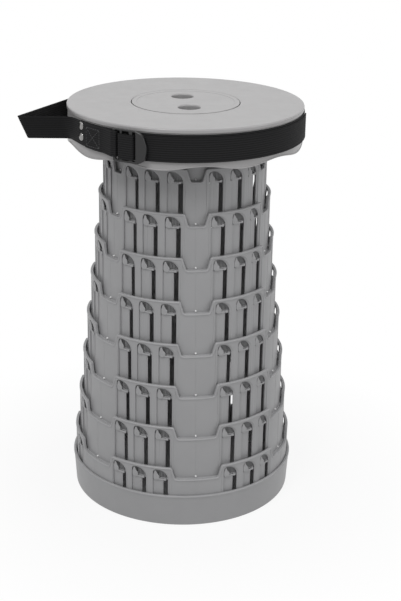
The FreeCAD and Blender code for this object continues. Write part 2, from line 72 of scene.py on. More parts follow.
# Windows
WINDOW_SHIFTS = (-25.65, -0.65, 24.35)
POCKET_HALF = 8.45
SLOT_WIDTH = 5.0
LEDGE_DROP = 16.0
ARCH_LEFT_RISE = 8.2
ARCH_RISE = 12.7
ARCH_APEX_INSET = 3.05
ARCH_RIGHT_RISE = 1.2
CHAMFER_WIDTH = 2.4
CHAMFER_DEPTH = 0.75
COLUMN_FLUTES = (2.0, 5.0)
BEVEL_WIDTH = 2.0
BEVEL_DEPTH = 1.2

# Lugs and hoops
HOOP_HEIGHT = 2.4
HOOP_PROUD = 1.95
LUG_GAP = 0.35
LUG_FACE_DEPTH = 0.3
LUG_PLATE = 1.05
LUG_HEIGHT = 11.4
LUG_RADIUS = 3.4
SHANK_WIDTH = 2.6
SHANK_HEIGHT = 2.4
LUG_BOSS_RADII = (2.0, 0.8)
PIN_RADIUS = 1.1
PIN_HEIGHT = 1.8
FIN_PLACES = (-0.9, 0.7, 2.3, 3.9, 5.5, 7.1)
FIN_HALF = 0.3

# Base and seat
BASE_FOOT_RADIUS = 124.7
BASE_RIM_RADIUS = 127.1
BASE_RIM_TOP = 38.0
BASE_INNER_RADIUS = 124.4
BASE_FOOT = 0.6
BASE_FOOT_WIDTH = 6.0
BASE_UNDER = 2.4
BASE_FLOOR = 5.0
FIRST_FLANGE_RADIUS = 108.0
FIRST_FLANGE_THICK = 2.5
SEAT_TOP = 450.0
SEAT_RADIUS = 127.8
SEAT_LIP = 445.6
SEAT_UNDER = 446.4
SEAT_LEDGE = 1.8
SEAT_FLANGE_RADIUS = 71.0
FLANGE_THICK = 2.6
LID_RADIUS = 59.0
LID_LEDGE_RADIUS = 53.0
LID_TOP = 450.0
LID_GAP = 0.9
LID_HOOK_WALL = 1.5
LID_HOOK_WIDTH = 8.0
LID_HOOK_DEPTH = 3.6
LID_HOOK_COUNT = 3
RIB_START = 92.0
RIB_STOP = 110.0
RIB_WIDTH = 1.6
RIB_DEPTH = 2.6
RIB_COUNT = 6
FINGER_RADIUS = 12.0
FINGER_CIRCLE = 27.0
COLLAR_WALL = 1.6
COLLAR_DROP = 5.0
SKIRT_RADIUS = 126.9
SKIRT_WALL = 1.7
SKIRT_LOW = 407.0
SKIRT_RISE = 4.6
SKIRT_LOBES = 9
SKIRT_AZIMUTH = 8.5
SKIRT_BAND = 1.3
SKIRT_BAND_PROUD = 0.5
SKIRT_FLANGE_RADIUS = 113.0

# Strap
STRAP_WIDTH = 27.6
STRAP_THICK = 1.4
STRAP_LOW = 417.0
STRAP_LIFT = 2.2
TAIL_DROP = 0.6
TAIL_NARROWER = 1.6
LIFT_END = -20.0
OUT_STEPS = 28
TURN_STEPS = 6
HOME_STEPS = 36
LOOP_FOLD = 1.7
BAR_FOLD = 1.1
STRAP_RIBS = 12
INNER_LAYER = 127.7
OUTER_LAYER = 129.2
THIRD_LAYER = 130.7
OVER_BARS = 134.4
END_AZIMUTH = -57.0
TURN_AZIMUTH = -35.1
LAP_AZIMUTHS = (-39.0, -51.5)
TAIL_AZIMUTHS = (-13.0, 84.0)
HEM_AZIMUTHS = (80.5, 79.0)
LOOP_TANGENT = -117.7
LOOP_TIPS = ((-167.0, -38.8), (-175.2, -56.9))
LOOP_BENDS = ((-120.9, -46.0, 8.0), (-118.5, -54.5, 14.0))
BUCKLE_AZIMUTH = -27.4
BUCKLE_NEAR = 130.2
BUCKLE_THICK = 3.2
BUCKLE_HEIGHT = 34.0
BUCKLE_LEFT = -13.0
BUCKLE_RIGHT = 15.6
BUCKLE_TAB = 10.5
BUCKLE_PLAY = 0.3
BUCKLE_SLOTS = ((-10.0, -5.0), (-2.2, 5.4), (9.6, 12.8))
STITCH_LENGTH = 2.1
STITCH_WIDTH = 0.55
STITCH_GAP = 0.9
STITCH_BOX = (-50.4, -41.6, 421.5, 440.5)
RIVET_AZIMUTH = -55.6
RIVET_LEVELS = (439.4, 427.8)
RIVET_RADIUS = 4.2
RIVET_HEIGHT = 1.3

# Camera, from the photograph's perspective
CAMERA_BACK = 1401.28
CAMERA_HEIGHT = 761.24
CAMERA_PITCH = 0.3684
CAMERA_YAW = 0.0139
CAMERA_ROLL = 0.0168
CAMERA_LENS = 78.95

# Floor: how far from the axis the shadow shows, in metres, and how white the floor is there
SHADOW_NEAR = 0.16
SHADOW_FAR = 0.36
SHADOW_WHITE = 0.9


# Outlines


def polar(radius, azimuth, z=0.0):
    """The point at this radius and azimuth in degrees."""
    turn = math.radians(azimuth)
    return Vector((radius * math.sin(turn), -radius * math.cos(turn), z))


def eased(points, closed=True):
    """An outline with rounded corners: each point is (x, y) or (x, y, radius)."""
    count = len(points)
    result = []
    for index, point in enumerate(points):
        here = Vector(point[:2])
        ends = not closed and index in (0, count - 1)
        if len(point) < 3 or ends:
            result.append(here)
            continue
        before = Vector(points[index - 1][:2]) - here
        after = Vector(points[(index + 1) % count][:2]) - here
        turn = math.pi - before.angle(after)
        reach = min(point[2] * math.tan(turn / 2), 0.49 * before.length, 0.49 * after.length)
        steps = max(2, round(turn / math.radians(18)))
        start = here + before.normalized() * reach
        stop = here + after.normalized() * reach
        radius = reach / math.tan(turn / 2)
        centre = here + (before.normalized() + after.normalized()).normalized() * math.hypot(reach, radius)
        first = start - centre
        sweep = first.angle_signed(stop - centre, 0.0)
        for step in range(steps + 1):
            result.append(centre + Matrix.Rotation(-sweep * step / steps, 2) @ first)
    return result


def circle(radius, count, centre=(0.0, 0.0), backwards=False):
    """Points round a circle."""
    turns = [2 * math.pi * index / count for index in range(count)]
    if backwards:
        turns.reverse()
    return [Vector((centre[0] + radius * math.cos(t), centre[1] + radius * math.sin(t))) for t in turns]


def inset(loop, distances):
    """A closed outline moved towards its left, each point by its own distance."""
    moved = []
    count = len(loop)
    for index, here in enumerate(loop):
        before = (here - loop[index - 1]).normalized()
        after = (loop[(index + 1) % count] - here).normalized()
        middle = Vector((-before.y - after.y, before.x + after.x)).normalized()
        stretch = max(0.4, middle.dot(Vector((-after.y, after.x))))
        moved.append(here + middle * (distances[index] / stretch))
    return moved


def edge_steps(low, high, round_low, round_high, steps=3):
    """(depth, inset) pairs from a plate's back to its front, with rounded edges."""
    pairs = []
    for index in range(steps + 1):
        turn = math.pi / 2 * index / steps
        if round_low:
            pairs.append((low + round_low * (1 - math.sin(turn)), round_low * (1 - math.cos(turn))))
    pairs.reverse()
    pairs = pairs or [(low, 0.0)]
    if not round_high:
        return pairs + [(high, 0.0)]
    for index in range(steps + 1):
        turn = math.pi / 2 * index / steps
        pairs.append((high - round_high * (1 - math.sin(turn)), round_high * (1 - math.cos(turn))))
    return pairs


def plate(loops, pairs, factors=None, bevels=None):
    """A flat plate in x and y, thick along z: first loop outside, the rest are holes.

    Each pair is a depth and how far the outline is drawn in there, as one number for all
    points or as (number, share of each point's own bevel).
    """
    bm = bmesh.new()
    factors = factors or [1.0] * len(loops)
    bevels = bevels or [[0.0] * len(loop) for loop in loops]
    rings = []
    for depth, shift in pairs:
        even, share = shift if isinstance(shift, tuple) else (shift, 0.0)
        level = []
        for loop, factor, widths in zip(loops, factors, bevels):
            moved = inset(loop, [even * factor + share * width for width in widths])
            level.append([bm.verts.new((p.x, p.y, depth)) for p in moved])
        rings.append(level)
    for below, above in zip(rings, rings[1:]):
        for lower, upper in zip(below, above):
            for index in range(len(lower)):
                bm.faces.new((lower[index - 1], lower[index], upper[index], upper[index - 1]))
    for level, flip in ((rings[0], True), (rings[-1], False)):
        flat = [vert for loop in level for vert in loop]
        for triple in tessellate_polygon([[v.co for v in loop] for loop in level]):
            corners = [flat[i] for i in triple]
            if len(set(corners)) == 3:
                bm.faces.new(corners[::-1] if flip else corners)
    bmesh.ops.recalc_face_normals(bm, faces=bm.faces)
    return bm


def cut(bm, place, normal, clear=False):
    """Cut every face by a plane, and drop what is in front of it if asked."""
    geometry = bm.verts[:] + bm.edges[:] + bm.faces[:]
    bmesh.ops.bisect_plane(bm, geom=geometry, dist=1e-5, plane_co=place, plane_no=normal, clear_outer=clear)


def slice_along(bm, low, high, count):
    """Cut a plate at even steps along x, so that it can bend."""
    for index in range(1, count):
        cut(bm, (low + (high - low) * index / count, 0, 0), (1, 0, 0))


def trim_sector(bm, half, depths):
    """Cut a plate off square at x = -half and +half, ready to meet its neighbours."""
    for side in (-1, 1):
        cut(bm, (side * half, 0, 0), (side, 0, 0), clear=True)
        for depth in depths:
            rim = [v for v in bm.verts if abs(v.co.x - side * half) < CLOSE and abs(v.co.z - depth) < CLOSE]
            rim.sort(key=lambda v: v.co.y)
            bmesh.ops.dissolve_verts(bm, verts=rim[1:-1])


def wrap(bm, radius, azimuth=0.0):
    """Bend a plate round the axis: x is arc length at the radius, y height, z distance out."""
    for vert in bm.verts:
        x, y, z = vert.co
        vert.co = polar(z, azimuth + math.degrees(x / radius), y)


def copy_into(target, source, matrix=None):
    """Add a copy of one mesh to another, moved by a matrix."""
    matrix = matrix or Matrix.Identity(4)
    new = {}
    for vert in source.verts:
        new[vert] = target.verts.new(matrix @ vert.co)
    for face in source.faces:
        target.faces.new([new[vert] for vert in face.verts])


def evenly_round(count):
    """Azimuths of places spread evenly round the axis."""
    return [index * 360.0 / count for index in range(count)]


def spin_into(target, source, azimuths):
    """Add a mesh to another at each azimuth, and let the first one go."""
    for azimuth in azimuths:
        copy_into(target, source, Matrix.Rotation(math.radians(azimuth), 4, "Z"))
    source.free()


def repeated(source, count):
    """Copies of a mesh round the axis, joined where they meet."""
    result = bmesh.new()
    spin_into(result, source, evenly_round(count))
    bmesh.ops.remove_doubles(result, verts=result.verts, dist=1e-3)
    return result


def lathe(profile, count=192, closed=True):
    """Turn a profile of (radius, height) points about the axis."""
    bm = bmesh.new()
    rows = []
    for point in profile:
        if point.x < 1e-6:
            rows.append([bm.verts.new((0, 0, point.y))] * count)
            continue
        rows.append([bm.verts.new(polar(point.x, 360.0 * i / count, point.y)) for i in range(count)])
    pairs = list(zip(rows, rows[1:]))
    if closed:
        pairs.append((rows[-1], rows[0]))
    for here, there in pairs:
        for i in range(count):
            corners = [here[i - 1], here[i], there[i], there[i - 1]]
            corners = list(dict.fromkeys(corners))
            if len(corners) > 2:
                bm.faces.new(corners)
    bmesh.ops.recalc_face_normals(bm, faces=bm.faces)
    return bm


def dome(place, outward, radius, height, count=24, steps=5):
    """A shallow dome that stands on a surface."""
    points = []
    for index in range(steps + 1):
        turn = math.pi / 2 * index / steps
        points.append(Vector((radius * math.cos(turn), height * math.sin(turn))))
    points.insert(0, Vector((radius, -0.3)))
    points.insert(0, Vector((0.0, -0.3)))
    bm = lathe(points, count, closed=False)
    turn = Vector((0, 0, 1)).rotation_difference(outward).to_matrix().to_4x4()
    bm.transform(Matrix.Translation(place) @ turn)
    return bm


def piece(bm, name, material, body, nodes=(), sharp=40.0):
    """Make an object of a mesh in millimetres, tie it to its body, and hide the imported parts of its
    nodes.
    """
    for vert in bm.verts:
        vert.co *= MM
    for face in bm.faces:
        face.smooth = True
    mesh = bpy.data.meshes.new(name)
    bm.to_mesh(mesh)
    bm.free()
    mesh.set_sharp_from_angle(angle=math.radians(sharp))
    mesh.materials.append(material)
    thing = bpy.data.objects.new(name, mesh)
    bpy.context.scene.collection.objects.link(thing)
    weighted = thing.modifiers.new("even_normals", "WEIGHTED_NORMAL")
    weighted.keep_sharp = True
    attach(thing, body)
    if nodes:
        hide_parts(*nodes)
    return thing


# Rings


def ring_radius(number):
    """Outer radius of a ring; 9 is the seat's own ring."""
    return RING_RADIUS - RING_STEP * (number - 1)


def ring_top(number):
    """Height of a ring's top edge."""
    return FIRST_RING_TOP + PITCH * (number - 1)


def ring_body(number):
    """The body that a ring rides."""
    if number == 1:
        return "base"
    return "seat" if number > RING_COUNT else "stage_%d" % number


def arch_points(middle, ledge):
    """The arch over a pocket, from its left foot to its right foot."""
    left = middle - POCKET_HALF
    apex = left + ARCH_APEX_INSET
    right = middle + POCKET_HALF
    points = []
    for index in range(5):
        turn = math.pi / 2 * index / 4
        rise = ARCH_LEFT_RISE + (ARCH_RISE - ARCH_LEFT_RISE) * math.sin(turn)
        points.append((apex - ARCH_APEX_INSET * math.cos(turn), ledge + rise))
    for index in range(1, 10):
        turn = math.pi / 2 * index / 9
        rise = ARCH_RIGHT_RISE + (ARCH_RISE - ARCH_RIGHT_RISE) * math.cos(turn)
        points.append((apex + (right - apex) * math.sin(turn), ledge + rise))
    return points


def ring_outline(number, foot, half, with_ledge):
    """One sixth of a ring, unrolled: three windows open at the foot, dips in the top edge."""
    top = ring_top(number)
    floor = top - NOTCH_DEPTH
    ledge = top - LEDGE_DROP
    points = [(-half - SECTOR_SPARE, foot)]
    for shift in WINDOW_SHIFTS:
        left = shift - POCKET_HALF
        slot_left = shift + POCKET_HALF - SLOT_WIDTH
        if with_ledge:
            points += [(slot_left, foot), (slot_left, ledge, 0.5), (left, ledge, 0.4)]
        else:
            points.append((left, foot))
        points += arch_points(shift, ledge)
        points.append((shift + POCKET_HALF, foot))
    points += [
        (half + SECTOR_SPARE, foot),
        (half + SECTOR_SPARE, floor),
        (GROUP_HALF + NOTCH_SLANT, floor, NOTCH_ROUND),
        (GROUP_HALF, top, NOTCH_ROUND),
        (-GROUP_HALF, top, NOTCH_ROUND),
        (-GROUP_HALF - NOTCH_SLANT, floor, NOTCH_ROUND),
        (-half - SECTOR_SPARE, floor),
    ]
    return eased(points)


def arch_bevel(point, ledge):
    """Width of the bevel at a point of an outline: it grows from an arch's apex to its right side."""
    for shift in WINDOW_SHIFTS:
        apex = shift - POCKET_HALF + ARCH_APEX_INSET
        reach = shift + POCKET_HALF - apex
        if 0 < point.x - apex < reach + 0.01 and point.y < ledge + ARCH_RISE + 0.01:
            return BEVEL_WIDTH * (point.x - apex) / reach
    return 0.0


def ring_skin(number, foot, low, high, with_ledge):
    """One skin of a ring's wall, between two distances from the axis."""
    radius = ring_radius(number)
    half = math.pi * radius / PANEL_COUNT
    outline = ring_outline(number, foot, half, with_ledge)
    if with_ledge:
        bm = plate([outline], edge_steps(low, high, 0.3, 0.0))
    else:
        ledge = ring_top(number) - LEDGE_DROP
        pairs = [(low, 0.0), (high - BEVEL_DEPTH, 0.0), (high - 0.45, (0.0, 0.85)),
                 (high - EDGE_ROUND * 0.5, (EDGE_ROUND * 0.13, 0.97)), (high, (EDGE_ROUND, 1.0))]
        bm = plate([outline], pairs, None, [[arch_bevel(point, ledge) for point in outline]])
    trim_sector(bm, half, (low, high))
    slice_along(bm, -half, half, SECTOR_SLICES)
    if with_ledge:
        chamfer_columns(bm, ring_top(number) - LEDGE_DROP, high)
    wrap(bm, radius, PANEL_AZIMUTH + 180.0 / PANEL_COUNT)
    return repeated(bm, PANEL_COUNT)


def chamfer_columns(bm, ledge, front):
    """Shape the columns: a sloping strip beside the slot, a fine ridge before it, shallow flutes."""
    for shift in WINDOW_SHIFTS:
        edge = shift + POCKET_HALF - SLOT_WIDTH
        left = shift - POCKET_HALF
        start = edge - CHAMFER_WIDTH
        lines = [(start - 0.7, 0.0), (start, 0.16), (edge, -CHAMFER_DEPTH)]
        for flute in COLUMN_FLUTES:
            lines += [(left + flute - 0.6, 0.0), (left + flute, -0.14), (left + flute + 0.6, 0.0)]
        for place, rise in lines:
            cut(bm, (place, 0, 0), (1, 0, 0))
            if rise:
                for vert in bm.verts:
                    on_front = abs(vert.co.z - front) < CLOSE and abs(vert.co.x - place) < 10 * CLOSE
                    if on_front and vert.co.y < ledge + 0.01:
                        vert.co.z += rise


def beside(path, distance):
    """An open path moved towards its right."""
    moved = []
    for index, here in enumerate(path):
        way = path[min(index + 1, len(path) - 1)] - path[max(index - 1, 0)]
        way.normalize()
        moved.append(here + Vector((way.y, -way.x)) * distance)
    return moved


def ring_trim(number, foot):
    """What stands proud of a ring: a band along its top edge, ridges beside the windows, a fine seam."""
    radius = ring_radius(number)
    half = math.pi * radius / PANEL_COUNT
    top = ring_top(number)
    floor = top - NOTCH_DEPTH
    path = eased([
        (-half - SECTOR_SPARE, floor),
        (-GROUP_HALF - NOTCH_SLANT, floor, NOTCH_ROUND),
        (-GROUP_HALF, top, NOTCH_ROUND),
        (GROUP_HALF, top, NOTCH_ROUND),
        (GROUP_HALF + NOTCH_SLANT, floor, NOTCH_ROUND),
        (half + SECTOR_SPARE, floor),
    ], closed=False)
    band = beside(path, BAND_HEIGHT) + list(reversed(beside(path, 0.1)))
    bm = plate([band], [(radius - 0.6, 0.0), (radius, 0.0), (radius + BAND_PROUD, BAND_PROUD)])
    trim_sector(bm, half, (radius - 0.6, radius + BAND_PROUD))
    slice_along(bm, -half, half, SECTOR_SLICES)
    wrap(bm, radius, PANEL_AZIMUTH + 180.0 / PANEL_COUNT)
    result = repeated(bm, PANEL_COUNT)
    lines = [(-RIDGE_PLACE, RIDGE_WIDTH, top - 2.0, 0.35), (RIDGE_PLACE, RIDGE_WIDTH, top - 2.0, 0.35),
             (half - 0.9, 0.5, floor - 1.5, 0.14)]
    for place, width, high, proud in lines:
        box = [Vector((place - width / 2, foot + 0.5)), Vector((place + width / 2, foot + 0.5)),
               Vector((place + width / 2, high)), Vector((place - width / 2, high))]
        ridge = plate([box], edge_steps(radius - 0.4, radius + proud, 0.0, min(0.3, proud), 2))
        wrap(ridge, radius, PANEL_AZIMUTH + 180.0 / PANEL_COUNT)
        spin_into(result, ridge, evenly_round(PANEL_COUNT))
    return result


def hoop(number, foot):
    """The hoop round a ring's foot, which bridges its slots."""
    radius = ring_radius(number)
    return lathe(eased([
        (radius - 0.05, foot, 0.2),
        (radius + HOOP_PROUD, foot, 0.4),
        (radius + HOOP_PROUD, foot + HOOP_HEIGHT, 0.5),
        (radius - 0.05, foot + HOOP_HEIGHT, 0.2),
    ]), 144)


def window_azimuths(number):
    """Azimuths of the middles of a ring's eighteen windows."""
    radius = ring_radius(number)
    angles = []
    for group in range(PANEL_COUNT):
        middle = PANEL_AZIMUTH + (group + 0.5) * 360.0 / PANEL_COUNT
        angles += [middle + math.degrees(shift / radius) for shift in WINDOW_SHIFTS]
    return angles


def one_lug(number, foot):
    """A drop-shaped lug with its boss, arm and shank, at azimuth 0."""
    outer = ring_radius(number - 1)
    left = -POCKET_HALF + LUG_GAP
    middle = left + LUG_RADIUS
    low = foot + LUG_RADIUS
    shank_left = POCKET_HALF - SLOT_WIDTH + LUG_GAP
    shank_right = shank_left + SHANK_WIDTH
    face = outer - LUG_FACE_DEPTH
    result = bmesh.new()
    drop = eased([
        (left, foot, 3.2),
        (middle + LUG_RADIUS, foot, 3.2),
        (middle + LUG_RADIUS, low + 1.6, 1.6),
        (middle + 1.0, low + 4.6, 3.0),
        (middle - 0.5, foot + LUG_HEIGHT, 0.6),
        (middle - 1.9, foot + LUG_HEIGHT - 0.1, 0.6),
        (left, low + 2.6, 2.5),
    ])
    boss = (middle + 0.3, low - 0.5)
    boss_out, boss_in = LUG_BOSS_RADII
    arm = [(middle + 1.0, foot + 0.3), (shank_right, foot + 0.3, 0.4), (shank_right, foot + 1.7, 0.5),
           (middle + 1.0, foot + 2.2)]
    shank = [(shank_left, foot), (shank_right, foot), (shank_right, foot + SHANK_HEIGHT, 0.4),
             (shank_left, foot + SHANK_HEIGHT, 0.4)]
    plates = [
        ([drop], edge_steps(face - LUG_PLATE, face, 0.0, 0.5)),
        ([eased(arm)], edge_steps(face - LUG_PLATE, face - 0.25, 0.0, 0.35)),
        ([circle(boss_out, 20, boss), circle(boss_in, 12, boss, True)],
         edge_steps(face - 0.3, face + 0.1, 0.0, 0.1, 2)),
        ([eased(shank)], edge_steps(ring_radius(number) + 1.0, face - 0.3, 0.0, 0.0)),
    ]
    for loops, pairs in plates:
        bm = plate(loops, pairs)
        slice_along(bm, left, shank_right, 5)
        wrap(bm, outer)
        copy_into(result, bm)
        bm.free()
    return result


def ring_lugs(number, foot):
    """All lugs of a ring, lined up with the pockets of the ring outside it."""
    result = bmesh.new()
    spin_into(result, one_lug(number, foot), window_azimuths(number - 1))
    return result


def hoop_ribs(number, foot):
    """Fins that stand on a ring's hoop, seen in the pockets of the ring outside."""
    radius = ring_radius(number)
    result = bmesh.new()
    fin_foot = foot + HOOP_HEIGHT - 0.3
    for place in FIN_PLACES:
        reach = (place + POCKET_HALF - ARCH_APEX_INSET) / (2 * POCKET_HALF - ARCH_APEX_INSET)
        high = foot + ARCH_RIGHT_RISE + (ARCH_RISE - ARCH_RIGHT_RISE) * math.sqrt(1 - reach * reach) + 0.8
        high = max(high, foot + HOOP_HEIGHT + 1.5)
        box = [Vector((place - FIN_HALF, fin_foot)), Vector((place + FIN_HALF, fin_foot)),
               Vector((place + FIN_HALF, high)), Vector((place - FIN_HALF, high))]
        fin = plate([box], edge_steps(radius + 0.1, radius + HOOP_PROUD - 0.2, 0.0, 0.2, 1))
        wrap(fin, radius)
        spin_into(result, fin, window_azimuths(number - 1))
    return result


def ring_pins(number):
    """Pins that show in the dips of the ring outside, coloured pale as a painted highlight."""
    bm = bmesh.new()
    height = ring_top(number - 1) - NOTCH_DEPTH + 1.6
    radius = ring_radius(number)
    for step in evenly_round(PANEL_COUNT):
        azimuth = PANEL_AZIMUTH - 0.4 + step
        pin = dome(polar(radius, azimuth, height), polar(1, azimuth), PIN_RADIUS, PIN_HEIGHT, 14, 4)
        copy_into(bm, pin)
        pin.free()
    return bm


def merge(parts):
    """One mesh of several."""
    result = bmesh.new()
    for part in parts:
        copy_into(result, part)
        part.free()
    return result


def make_ring(number, material):
    """A visible ring."""
    radius = ring_radius(number)
    foot = ring_top(number) - RING_HEIGHT
    if number == 1:
        foot = BASE_FLOOR
    parts = [
        ring_skin(number, foot, radius - SKIN, radius, False),
        ring_skin(number, foot, radius - RING_WALL, radius - SKIN, True),
        ring_trim(number, foot + HOOP_HEIGHT),
    ]
    if number > 1:
        parts += [hoop(number, foot), ring_lugs(number, foot), hoop_ribs(number, foot)]
    else:
        flange_top = foot + FIRST_FLANGE_THICK
        parts.append(lathe(eased([
            (FIRST_FLANGE_RADIUS, foot, 0.3),
            (radius - 1.0, foot),
            (radius - 1.0, flange_top),
            (FIRST_FLANGE_RADIUS, flange_top, 0.3),
        ]), 144))
    piece(merge(parts), "ring_%d_shell" % number, material, ring_body(number),
          ["ring_%d" % number])


def make_seat_ring(material):
    """The plain innermost ring under the seat."""
    number = RING_COUNT + 1
    radius = ring_radius(number)
    foot = ring_top(RING_COUNT) - LEDGE_DROP
    wall = lathe(eased([
        (radius - RING_WALL, foot, 0.3),
        (radius, foot, 0.3),
        (radius, SEAT_UNDER),
        (SEAT_FLANGE_RADIUS, SEAT_UNDER, 0.3),
        (SEAT_FLANGE_RADIUS, SEAT_UNDER - FLANGE_THICK, 0.3),
        (radius - RING_WALL, SEAT_UNDER - FLANGE_THICK, 1.0),
    ]), 144)
    parts = [wall, hoop(number, foot), ring_lugs(number, foot), hoop_ribs(number, foot)]
    piece(merge(parts), "seat_ring_shell", material, "seat", ["seat_ring"])


# Base and seat


def make_base(material):
    """Base tray with its flared band and beaded rim."""
    outline = eased([
        (0.0, BASE_UNDER),
        (BASE_FOOT_RADIUS - BASE_FOOT_WIDTH, BASE_UNDER, 0.4),
        (BASE_FOOT_RADIUS - BASE_FOOT_WIDTH, BASE_FOOT, 0.4),
        (BASE_FOOT_RADIUS, BASE_FOOT, 1.5),
        (BASE_RIM_RADIUS - 0.25, BASE_RIM_TOP - 2.6, 0.3),
        (BASE_RIM_RADIUS + 0.3, BASE_RIM_TOP - 2.2, 0.3),
        (BASE_RIM_RADIUS + 0.3, BASE_RIM_TOP, 0.8),
        (BASE_INNER_RADIUS, BASE_RIM_TOP, 0.5),
        (BASE_INNER_RADIUS, BASE_FLOOR, 0.8),
        (0.0, BASE_FLOOR),
    ], closed=False)
    tray = lathe(outline, 216, closed=False)
    piece(tray, "base_tray_shell", material, "base", ["base_tray"])


def make_seat_top(material):
    """Round plate with a rounded rim, a dish for the lid and ribs below."""
    outline = eased([
        (LID_LEDGE_RADIUS, SEAT_UNDER - SEAT_LEDGE, 0.2),
        (LID_RADIUS + 3.0, SEAT_UNDER - SEAT_LEDGE, 0.2),
        (LID_RADIUS + 3.0, SEAT_UNDER),
        (SEAT_RADIUS - 2.2, SEAT_UNDER),
        (SEAT_RADIUS - 2.2, SEAT_LIP),
        (SEAT_RADIUS, SEAT_LIP, 0.5),
        (SEAT_RADIUS, SEAT_TOP, 1.6),
        (LID_RADIUS + 2.6, SEAT_TOP, 3.0),
        (LID_RADIUS, SEAT_TOP - 0.4, 0.3),
        (LID_RADIUS, SEAT_UNDER, 0.2),
        (LID_LEDGE_RADIUS, SEAT_UNDER, 0.2),
    ])
    parts = [lathe(outline, 216)]
    rib = [
        (RIB_START, SEAT_UNDER - RIB_DEPTH, 0.4),
        (RIB_STOP, SEAT_UNDER - RIB_DEPTH, 0.4),
        (RIB_STOP, SEAT_UNDER + 0.2),
        (RIB_START, SEAT_UNDER + 0.2),
    ]
    for azimuth in evenly_round(RIB_COUNT):
        parts.append(radial_bar(rib, RIB_WIDTH, PANEL_AZIMUTH - 15.0 + azimuth))
    piece(merge(parts), "seat_top_plate", material, "seat", ["seat_top"])


def radial_bar(outline, width, azimuth):
    """A bar whose outline lies in a plane through the axis."""
    bm = plate([eased(outline)], edge_steps(-width / 2, width / 2, 0.25, 0.25, 2))
    for vert in bm.verts:
        radius, height, across = vert.co
        vert.co = polar(radius, azimuth, height) + polar(across, azimuth + 90.0)
    return bm


def make_lid(material):
    """Round flush lid with a fine rim, two finger holes with collars below, and hooks."""
    holes = [polar(FINGER_CIRCLE, PANEL_AZIMUTH + side) for side in (0.0, 180.0)]
    rim = plate([circle(LID_RADIUS - LID_GAP, 144), circle(LID_LEDGE_RADIUS, 144, backwards=True)],
                edge_steps(SEAT_UNDER, LID_TOP, 0.2, 0.3))
    loops = [circle(LID_LEDGE_RADIUS + 0.1, 144)]
    loops += [circle(FINGER_RADIUS, 64, (p.x, p.y), True) for p in holes]
    middle = plate(loops, edge_steps(SEAT_UNDER, LID_TOP - 0.2, 0.0, 1.5, 5), [0.15, 1.0, 1.0])
    parts = [rim, middle]
    for hole in holes:
        collar = plate([circle(FINGER_RADIUS + COLLAR_WALL, 64), circle(FINGER_RADIUS, 64, backwards=True)],
                       edge_steps(SEAT_UNDER - COLLAR_DROP, SEAT_UNDER + 0.2, 0.3, 0.0))
        collar.transform(Matrix.Translation(hole))
        parts.append(collar)
    far = LID_LEDGE_RADIUS - 0.35
    catch = SEAT_UNDER - LID_HOOK_DEPTH
    hook = [
        (far - LID_HOOK_WALL, catch, 0.3),
        (far, catch, 0.3),
        (far + LID_HOOK_WALL, catch + LID_HOOK_WALL, 0.2),
        (far, catch + LID_HOOK_WALL, 0.2),
        (far, SEAT_UNDER + 0.2),
        (far - LID_HOOK_WALL, SEAT_UNDER + 0.2),
    ]
    for azimuth in evenly_round(LID_HOOK_COUNT):
        parts.append(radial_bar(hook, LID_HOOK_WIDTH, PANEL_AZIMUTH + 90.0 + azimuth))
    piece(merge(parts), "seat_lid", material, "seat", ["center_lid"])


def make_skirt(material):
    """Side wall of the seat: a wavy lower edge with a band along it, and a flange on top."""
    half = math.pi * SKIRT_RADIUS / SKIRT_LOBES
    wave = []
    steps = 36
    for index in range(steps + 1):
        along = (2.0 * index / steps - 1.0) * (half + SECTOR_SPARE)
        rise = SKIRT_RISE * (1 + math.cos(math.pi * along / half)) / 2
        wave.append(Vector((along, SKIRT_LOW + rise)))
    low = SKIRT_RADIUS - SKIRT_WALL
    over = SKIRT_RADIUS + SKIRT_BAND_PROUD
    end = half + SECTOR_SPARE
    sheet = wave + [Vector((end, SEAT_LIP - 0.2)), Vector((-end, SEAT_LIP - 0.2))]
    band = wave + [point + Vector((0, SKIRT_BAND)) for point in reversed(wave)]
    walls = []
    for outline, near, far, pairs in ((sheet, low, SKIRT_RADIUS, edge_steps(low, SKIRT_RADIUS, 0.5, 0.3)),
                                      (band, low + 0.6, over, edge_steps(low + 0.6, over, 0.0, 0.4))):
        bm = plate([outline], pairs)
        trim_sector(bm, half, (near, far))
        slice_along(bm, -half, half, 20)
        wrap(bm, SKIRT_RADIUS, SKIRT_AZIMUTH)
        walls.append(repeated(bm, SKIRT_LOBES))
    flange = lathe(eased([
        (SKIRT_FLANGE_RADIUS, SEAT_UNDER - FLANGE_THICK, 0.3),
        (low + 0.5, SEAT_UNDER - FLANGE_THICK),
        (low + 0.5, SEAT_UNDER - 0.02),
        (SKIRT_FLANGE_RADIUS, SEAT_UNDER - 0.02, 0.3),
    ]), 144)
    piece(merge(walls + [flange]), "seat_skirt_wall", material, "seat", ["seat_skirt"])


# Strap


def at_buckle(along, distance):
    """A plan point given along the buckle and by its distance out from the axis."""
    turn = math.radians(BUCKLE_AZIMUTH)
    return (along * math.cos(turn) + distance * math.sin(turn),
            along * math.sin(turn) - distance * math.cos(turn))


def arc_route(radius, start, stop):
    """Plan points round the axis, about every two degrees."""
    steps = max(2, round(abs(stop - start) / 2.0))
    return [polar(radius, start + (stop - start) * i / steps).xy for i in range(steps + 1)]


def even_run(points, count):
    """A route with its points set at even distances."""
    lengths = [0.0]
    for here, there in zip(points, points[1:]):
        lengths.append(lengths[-1] + (there - here).length)
    result = []
    for index in range(count + 1):
        goal = lengths[-1] * index / count
        step = next((i for i in range(1, len(lengths)) if lengths[i] >= goal - 1e-9), len(lengths) - 1)
        share = (goal - lengths[step - 1]) / (lengths[step] - lengths[step - 1])
        result.append(points[step - 1].lerp(points[step], share))
    return result


